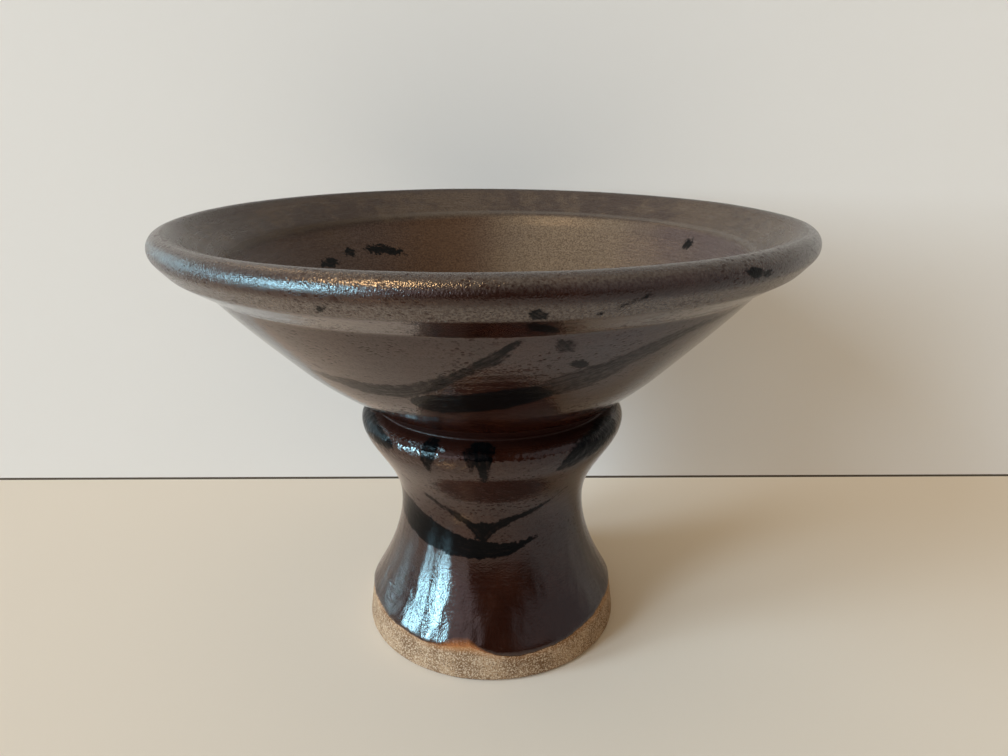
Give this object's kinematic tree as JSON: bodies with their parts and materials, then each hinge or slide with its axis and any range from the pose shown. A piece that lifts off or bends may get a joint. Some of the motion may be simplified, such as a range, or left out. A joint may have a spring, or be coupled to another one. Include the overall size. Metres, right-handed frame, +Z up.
{
  "type": "pedestal dish",
  "caption": "Wide flanged stoneware bowl joined with slip to a waisted hollow pedestal, dark iron glaze over all but a bare clay foot; a free-standing dish for fruit or flowers.",
  "frame": {"origin": "centre of the foot ring, on the surface the dish stands on", "axes": "+Z up along the axis that the dish was turned on; the pictured side faces -Y"},
  "size_m": [0.2, 0.2, 0.144],
  "materials": {
    "stoneware": "bare fired stoneware, tan, coarse and matt with dark iron specks",
    "slip": "fired joining slip, fine and matt",
    "liner_glaze": "warm brown satin glaze, mottled and speckled",
    "iron_glaze": "dark red-brown iron glaze, glossy on the pedestal and frosted on the rim, with black brush sweeps"
  },
  "bodies": {
    "root": {"bowl": "stoneware", "pedestal": "stoneware", "joining_slip": "slip", "liner_glaze": "liner_glaze", "bowl_glaze": "iron_glaze", "pedestal_glaze": "iron_glaze"}
  },
  "joints": []
}
